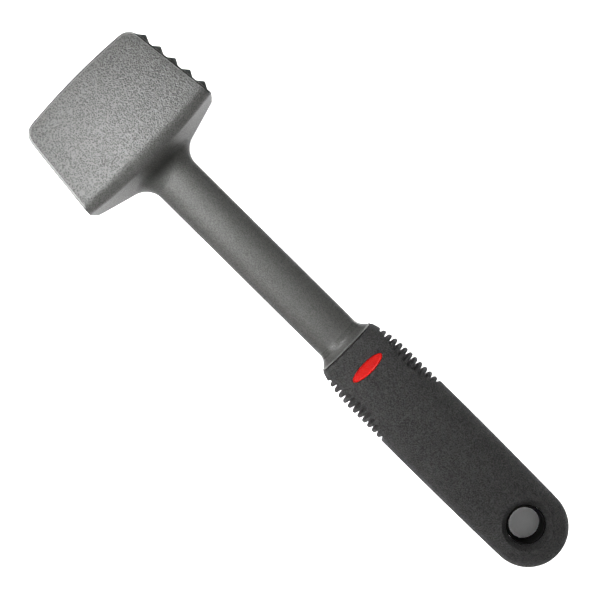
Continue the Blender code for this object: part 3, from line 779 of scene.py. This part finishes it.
def make_grip(material):
    cutters = (loft(core_rings(GAP)), mouth_cutter(), badge_pocket())
    steps = [("DIFFERENCE", cutter) for cutter in cutters]
    shape = combined(loft(grip_rings()), steps)
    return finish_piece("soft_grip", shape, material, "grip_sleeve")


def make_badge(material):
    """An oval plate that follows the grip's curve, with a thin raised rim."""
    bottom = grip_half_depth(BADGE_X) - BADGE_THICKNESS

    def over(offset):
        return lambda x, y: grip_top(x, y) + offset

    rings = [badge_oval(inset, bottom + height) for inset, height in BADGE_UNDERSIDE]
    rings += [badge_oval(inset, over(BADGE_PROUD - below)) for inset, below in BADGE_RIM]
    for inset in BADGE_FIELD_INSETS:
        rise = BADGE_FIELD_RISE * inset / BADGE_FIELD_WIDTH
        rings.append(badge_oval(inset, over(BADGE_PROUD - BADGE_FIELD_DEPTH + rise)))
    return finish_piece("oval_badge", loft(rings), material, "badge")


def make_eyelet(material):
    """The hard ring in the hanging hole: straight outside, rounded lips, narrowest half way through."""
    lip = (EYELET_RADIUS - EYELET_LIP_RADIUS) / 2
    middle = (EYELET_RADIUS + EYELET_LIP_RADIUS) / 2
    straight = EYELET_HALF_LENGTH - lip
    profile = []
    for degrees in between(0, 180, EYELET_LIP_STEPS):
        turn = math.radians(degrees)
        profile.append((middle + lip * math.cos(turn), straight + lip * math.sin(turn)))
    for share in between(1, -1, EYELET_BORE_STEPS)[1:-1]:
        narrowing = (EYELET_LIP_RADIUS - HOLE_RADIUS) * math.cos(math.pi / 2 * share)
        profile.append((EYELET_LIP_RADIUS - narrowing, share * straight))
    for degrees in between(180, 360, EYELET_LIP_STEPS):
        turn = math.radians(degrees)
        profile.append((middle + lip * math.cos(turn), -straight + lip * math.sin(turn)))
    bm = bmesh.new()
    verts = [bm.verts.new((HOLE_X + r, 0, z)) for r, z in profile]
    edges = [bm.edges.new((verts[i - 1], verts[i])) for i in range(len(verts))]
    bmesh.ops.spin(
        bm,
        geom=verts + edges,
        axis=(0, 0, 1),
        cent=(HOLE_X, 0, 0),
        angle=2 * math.pi,
        steps=ROUND_STEPS,
        use_merge=True,
    )
    return finish_piece("eyelet_ring", bm, material, "hanging_eyelet")


# ---------------------------------------------------------------- materials


class Finish:
    """A material being built: a Principled shader and short ways to add nodes to it."""

    def __init__(self, name, colour, roughness, metallic=0.0, specular=0.5):
        self.material = bpy.data.materials.new(name)
        self.material.use_nodes = True
        self.tree = self.material.node_tree
        self.shader = self.tree.nodes["Principled BSDF"]
        self.shader.inputs["Base Color"].default_value = (*colour, 1.0)
        self.shader.inputs["Roughness"].default_value = roughness
        self.shader.inputs["Metallic"].default_value = metallic
        self.shader.inputs["Specular IOR Level"].default_value = specular

    def link(self, source, target):
        self.tree.links.new(source, target)

    def place(self):
        return self.tree.nodes.new("ShaderNodeTexCoord").outputs["Object"]

    def noise(self, scale, detail=2.0, roughness=0.5, vector=None):
        node = self.tree.nodes.new("ShaderNodeTexNoise")
        node.inputs["Scale"].default_value = scale
        node.inputs["Detail"].default_value = detail
        node.inputs["Roughness"].default_value = roughness
        self.link(vector or self.place(), node.inputs["Vector"])
        return node.outputs["Fac"]

    def cells(self, scale, smoothness=0.6):
        node = self.tree.nodes.new("ShaderNodeTexVoronoi")
        node.feature = "SMOOTH_F1"
        node.inputs["Scale"].default_value = scale
        node.inputs["Smoothness"].default_value = smoothness
        self.link(self.place(), node.inputs["Vector"])
        return node.outputs["Distance"]

    def attribute(self, name):
        node = self.tree.nodes.new("ShaderNodeAttribute")
        node.attribute_name = name
        return node.outputs["Fac"]

    def ramp(self, value, first, last, low, high):
        """Maps first..last of a value to low..high, and holds it there beyond."""
        node = self.tree.nodes.new("ShaderNodeMapRange")
        for socket, number in (("From Min", first), ("From Max", last), ("To Min", low), ("To Max", high)):
            node.inputs[socket].default_value = number
        self.link(value, node.inputs["Value"])
        return node.outputs["Result"]

    def maths(self, operation, first, second):
        node = self.tree.nodes.new("ShaderNodeMath")
        node.operation = operation
        for socket, value in zip(node.inputs, (first, second)):
            if isinstance(value, (int, float)):
                socket.default_value = value
            else:
                self.link(value, socket)
        return node.outputs["Value"]

    def mix(self, share, first, last):
        node = self.tree.nodes.new("ShaderNodeMix")
        node.data_type = "RGBA"
        self.link(share, node.inputs["Factor"])
        for socket, value in ((node.inputs[6], first), (node.inputs[7], last)):
            if isinstance(value, tuple):
                socket.default_value = (*value, 1.0)
            else:
                self.link(value, socket)
        return node.outputs[2]

    def mix_values(self, share, first, last):
        node = self.tree.nodes.new("ShaderNodeMix")
        for socket, value in zip(node.inputs[:1] + node.inputs[2:4], (share, first, last)):
            self.link(value, socket)
        return node.outputs[0]

    def bump(self, height, strength, distance):
        node = self.tree.nodes.new("ShaderNodeBump")
        node.inputs["Distance"].default_value = distance
        if isinstance(strength, float):
            node.inputs["Strength"].default_value = strength
        else:
            self.link(strength, node.inputs["Strength"])
        self.link(height, node.inputs["Height"])
        self.link(node.outputs["Normal"], self.shader.inputs["Normal"])

    def colour(self, output):
        self.link(output, self.shader.inputs["Base Color"])

    def roughness(self, output):
        self.link(output, self.shader.inputs["Roughness"])


def cast_metal(name, specular):
    """Grey coated casting: pebbled on the head, finer-grained on the neck, lighter at its edges as rubbed
    wear and a painted highlight, and painted near black in the crease under the head and on the teeth as
    painted shade.
    """
    finish = Finish(name, (0.02, 0.02, 0.02), 0.38, specular=specular)
    on_head = finish.attribute("on_head")
    pebbles = finish.cells(1350)
    grain = finish.noise(2000, 1.0, 0.5)
    coarse = finish.maths("MULTIPLY", pebbles, 0.7)
    height = finish.maths("ADD", coarse, finish.maths("MULTIPLY", grain, 0.8))
    tops = finish.ramp(height, 0.50, 0.88, 0, 1)
    finish.bump(height, finish.ramp(on_head, 0, 1, 0.22, 0.30), 0.00070)
    mottle = finish.ramp(finish.noise(160, 4.0, 0.6), 0.3, 0.7, -0.04, 0.04)
    on_tops = finish.maths("ADD", tops, mottle)
    head = finish.mix(on_tops, (0.008, 0.0081, 0.0077), (0.063, 0.0636, 0.0605))
    speckle = finish.ramp(grain, 0.35, 0.65, 0, 1)
    on_specks = finish.maths("ADD", speckle, mottle)
    neck = finish.mix(on_specks, (0.030, 0.0302, 0.0282), (0.064, 0.0643, 0.0604))
    # Painted shade: the crease under the head and the toothed face are mixed towards near black, standing in
    # for the shadow there.
    painted_shade = finish.attribute("painted_shade")
    coat = finish.mix(painted_shade, finish.mix(on_head, neck, head), (0.004, 0.0041, 0.0037))
    # Edges lightened towards light grey: partly rubbed wear, partly a painted highlight along the head's
    # edges and the collar rim.
    finish.colour(finish.mix(finish.attribute("wear_and_highlight"), coat, (0.26, 0.26, 0.25)))
    block_roughness = finish.ramp(tops, 0, 1, 0.48, 0.32)
    neck_roughness = finish.ramp(speckle, 0, 1, 0.56, 0.46)
    coat_roughness = finish.mix_values(on_head, neck_roughness, block_roughness)
    polished = finish.attribute("polished")
    polished_roughness = finish.ramp(speckle, 0, 1, 0.20, 0.16)
    finish.roughness(finish.mix_values(polished, coat_roughness, polished_roughness))
    return finish.material


def soft_rubber():
    finish = Finish("soft_rubber", (0.045, 0.045, 0.045), 0.7)
    grain = finish.noise(1600, 2.0, 0.6)
    patches = finish.noise(90, 3.0, 0.6)
    specks = finish.ramp(grain, 0.35, 0.65, 0, 1)
    finish.colour(finish.mix(specks, (0.005, 0.005, 0.005), (0.048, 0.048, 0.0475)))
    finish.roughness(finish.ramp(patches, 0.3, 0.7, 0.62, 0.76))
    finish.bump(grain, 1.0, 0.00060)
    return finish.material


def badge_red():
    finish = Finish("badge_red", (0.28, 0.005, 0.003), 0.35, specular=0.15)
    speckle = finish.noise(700, 3.0, 0.6)
    share = finish.ramp(speckle, 0.3, 0.7, 0, 1)
    finish.colour(finish.mix(share, (0.43, 0.005, 0.004), (0.50, 0.008, 0.005)))
    finish.roughness(finish.ramp(finish.noise(1900, 2.0), 0.3, 0.7, 0.22, 0.34))
    finish.bump(speckle, 0.12, 0.00005)
    return finish.material


def eyelet_plastic():
    finish = Finish("eyelet_plastic", (0.02, 0.02, 0.02), 0.18, specular=0.0)
    haze = finish.noise(350, 4.0, 0.6)
    share = finish.ramp(haze, 0.3, 0.7, 0, 1)
    finish.colour(finish.mix(share, (0.006, 0.006, 0.006), (0.012, 0.012, 0.0115)))
    finish.roughness(finish.ramp(haze, 0.3, 0.7, 0.14, 0.26))
    finish.bump(finish.noise(2200, 2.0), 0.08, 0.00005)
    return finish.material


def core_plastic():
    finish = Finish("core_plastic", (0.02, 0.02, 0.02), 0.4)
    haze = finish.noise(240, 4.0, 0.6)
    share = finish.ramp(haze, 0.3, 0.7, 0, 1)
    finish.colour(finish.mix(share, (0.014, 0.014, 0.015), (0.024, 0.024, 0.024)))
    finish.roughness(finish.ramp(haze, 0.3, 0.7, 0.36, 0.5))
    finish.bump(finish.noise(2600, 2.0), 0.15, 0.00008)
    return finish.material


def pin_steel():
    finish = Finish("pin_steel", (0.6, 0.6, 0.61), 0.3, 1.0)
    drawn = finish.tree.nodes.new("ShaderNodeMapping")
    drawn.inputs["Scale"].default_value = (1, 1, 0.05)
    finish.link(finish.place(), drawn.inputs["Vector"])
    lines = finish.noise(5200, 2.0, 0.6, drawn.outputs["Vector"])
    finish.colour(finish.mix(lines, (0.50, 0.50, 0.51), (0.68, 0.68, 0.69)))
    finish.roughness(finish.ramp(lines, 0.3, 0.7, 0.22, 0.38))
    finish.bump(lines, 0.2, 0.00004)
    return finish.material


def own_points(mesh):
    """The mesh's points in the mallet's own axes, one row each."""
    points = np.empty(len(mesh.vertices) * 3)
    mesh.vertices.foreach_get("co", points)
    back = np.array(LAID_DOWN.inverted())
    return points.reshape(-1, 3) @ back[:3, :3].T + back[:3, 3]


def edge_wear_and_highlight(mesh):
    """How far each point stands on an outward edge, from 0 to 1."""
    bm = bmesh.new()
    bm.from_mesh(mesh)
    wear = np.zeros(len(bm.verts))
    for vert in bm.verts:
        sharpness = [edge.calc_face_angle_signed(0) for edge in vert.link_edges]
        wear[vert.index] = min(1.0, max(0.0, max(sharpness) - EDGE_LIGHTENING_FROM) / EDGE_LIGHTENING_RANGE)
    bm.free()
    return wear


def set_values(mesh, name, values):
    mesh.attributes.new(name, "FLOAT", "POINT").data.foreach_set("value", values)


def mark_casting(piece, teeth_material):
    """Point values for the casting's finish: whether a point is pebbled or polished, how much painted shade
    it gets in the crease and on the toothed face, and how much its edges are lightened, as rubbed wear and as
    a painted highlight. The toothed face gets its own, duller material."""
    mesh = piece.data
    x, y, z = own_points(mesh).T
    on_head = np.clip((PEBBLES_END - x) / PEBBLES_FADE, 0, 1)
    set_values(mesh, "on_head", on_head)
    # Painted shade in the crease where the head meets the neck, and on the toothed face.
    near_crease = np.clip(1 - np.abs(x - CREASE_X) / CREASE_SPREAD, 0, 1)
    painted_shade = near_crease * np.clip(CREASE_FULL - np.abs(y) / CREASE_HALF_WIDTH, 0, 1)
    rim = HEAD_HALF_WIDTH + FACE_SLOPE * x - TOOTHED_SETBACK
    toothed = (y > rim - TOOTHED_DEPTH) & (x < SHOULDER_START + TOOTHED_PAST_SHOULDER)
    set_values(mesh, "painted_shade", np.maximum(CREASE_PAINTED_SHADE * painted_shade, TOOTHED_PAINTED_SHADE * toothed))
    set_values(mesh, "polished", np.clip(POLISHED_FULL - np.abs(x - POLISHED_X) / POLISHED_SPREAD, 0, 1))
    mesh.materials.append(teeth_material)
    for face in mesh.polygons:
        face.material_index = int(toothed[list(face.vertices)].all())
    # Lighter edges on the head's side faces and the collar rim: rubbed wear, and a painted highlight.
    wear_and_highlight = edge_wear_and_highlight(mesh) * on_head * (np.abs(z) > HEAD_HALF_DEPTH - EDGE_LIGHTENING_NEAR_SIDE) * (1 - toothed)
    collar_rim = (x > COLLAR_END - COLLAR_RIM[0]) & (x < COLLAR_END - COLLAR_RIM[1])
    set_values(mesh, "wear_and_highlight", np.maximum(wear_and_highlight, COLLAR_RIM_LIGHTENING * collar_rim))


# ---------------------------------------------------------------- floor, light and camera


def make_floor():
    bm = bmesh.new()
    bmesh.ops.create_grid(bm, x_segments=1, y_segments=1, size=FLOOR_HALF_SIZE)
    floor = add_object("floor", bm)
    floor.data.materials.append(Finish("floor_white", (0.9, 0.9, 0.9), 0.8, specular=0.0).material)
    floor.location.z = CAD_BOX[0][2] - FLOOR_CLEARANCE
    floor.visible_glossy = False
    return floor


def make_world():
    """A studio that is bright overhead and underneath, and dark towards the horizon."""
    world = bpy.data.worlds.new("studio")
    bpy.context.scene.world = world
    world.use_nodes = True
    nodes, links = world.node_tree.nodes, world.node_tree.links
    place = nodes.new("ShaderNodeTexCoord")
    split = nodes.new("ShaderNodeSeparateXYZ")
    scale = nodes.new("ShaderNodeMapRange")
    scale.inputs["From Min"].default_value = -1
    ramp = nodes.new("ShaderNodeValToRGB")
    elements = ramp.color_ramp.elements
    for height, level in STUDIO_LEVELS:
        element = elements.new((height + 1) / 2)
        element.color = (level, level, level, 1)
    elements.remove(elements[0])
    elements.remove(elements[-1])
    links.new(place.outputs["Generated"], split.inputs[0])
    links.new(split.outputs["Z"], scale.inputs["Value"])
    links.new(scale.outputs["Result"], ramp.inputs["Fac"])
    links.new(ramp.outputs["Color"], nodes["Background"].inputs["Color"])


def area_light(name, size, power, location, target=(0, 0, 0)):
    """A round soft light. It is never seen itself."""
    data = bpy.data.lights.new(name, "AREA")
    data.shape = "DISK"
    data.size = size
    data.energy = power
    light = bpy.data.objects.new(name, data)
    light.location = location
    light.visible_camera = False
    light.rotation_euler = (Vector(target) - Vector(location)).to_track_quat("-Z", "Y").to_euler()
    bpy.context.scene.collection.objects.link(light)
    return light


def light_ring(name, count, radius, height, size, power, only=None):
    """Equal soft lights all round, aimed at the middle. only is a collection that alone receives them."""
    for number in range(count):
        turn = 2 * math.pi * (number + 0.5) / count
        place = (radius * math.cos(turn), radius * math.sin(turn), height)
        light = area_light(f"{name}_{number + 1}", size, power, place)
        light.visible_glossy = False
        if only:
            light.light_linking.receiver_collection = only


def make_lights(floor, casting):
    """A sweep lit from all round, a ring of lights and a key light over the head, and three lights that only
    show in the reflections."""
    sweep = bpy.data.collections.new("sweep")
    sweep.objects.link(floor)
    metal = bpy.data.collections.new("metal")
    metal.objects.link(casting)
    light_ring("sweep", count=8, radius=1.1, height=1.0, size=0.6, power=17.0, only=sweep)
    light_ring("ring", count=6, radius=1.2, height=0.9, size=0.4, power=0.6)
    key = area_light("key", size=0.08, power=0.85, location=(-0.07, -0.15, 0.28), target=HEAD_MIDDLE)
    key.visible_glossy = False
    key.data.spread = math.radians(140)
    highlight = area_light("highlight", 0.04, 0.18, location=(-0.1110, -0.0130, 0.16), target=HEAD_MIDDLE)
    highlight.visible_diffuse = False
    glint = area_light("glint", 0.03, 0.40, location=(-0.091, -0.204, 0.416), target=(0.0135, -0.004, 0.026))
    glint.visible_diffuse = False
    glint.light_linking.receiver_collection = metal
    side = area_light("side", 0.30, 0.9, location=(-0.10, -0.36, 0.50), target=(-0.06, 0.0, 0.03))
    side.visible_diffuse = False


def make_camera():
    """Straight above the table, with the handle running to the lower right."""
    data = bpy.data.cameras.new("camera")
    data.lens = CAMERA_LENS
    data.sensor_width = CAMERA_SENSOR
    data.clip_start = CAMERA_CLIP
    camera = bpy.data.objects.new("camera", data)
    camera.location = CAMERA_PLACE
    camera.rotation_euler = (0, 0, CAMERA_TURN)
    bpy.context.scene.collection.objects.link(camera)
    bpy.context.scene.camera = camera


def main():
    casting = make_casting(cast_metal("cast_metal", 0.5))
    mark_casting(casting, cast_metal("cast_metal_teeth", 0.22))
    make_grip(soft_rubber())
    make_badge(badge_red())
    make_eyelet(eyelet_plastic())
    inside = {"handle_core": core_plastic(), "tang_pin_front": pin_steel()}
    inside["tang_pin_rear"] = inside["tang_pin_front"]
    for node, material in inside.items():
        frame["nodes"][node].data.materials[0] = material
    floor = make_floor()
    make_world()
    make_lights(floor, casting)
    make_camera()
    bpy.context.scene.view_settings.view_transform = "Standard"


main()
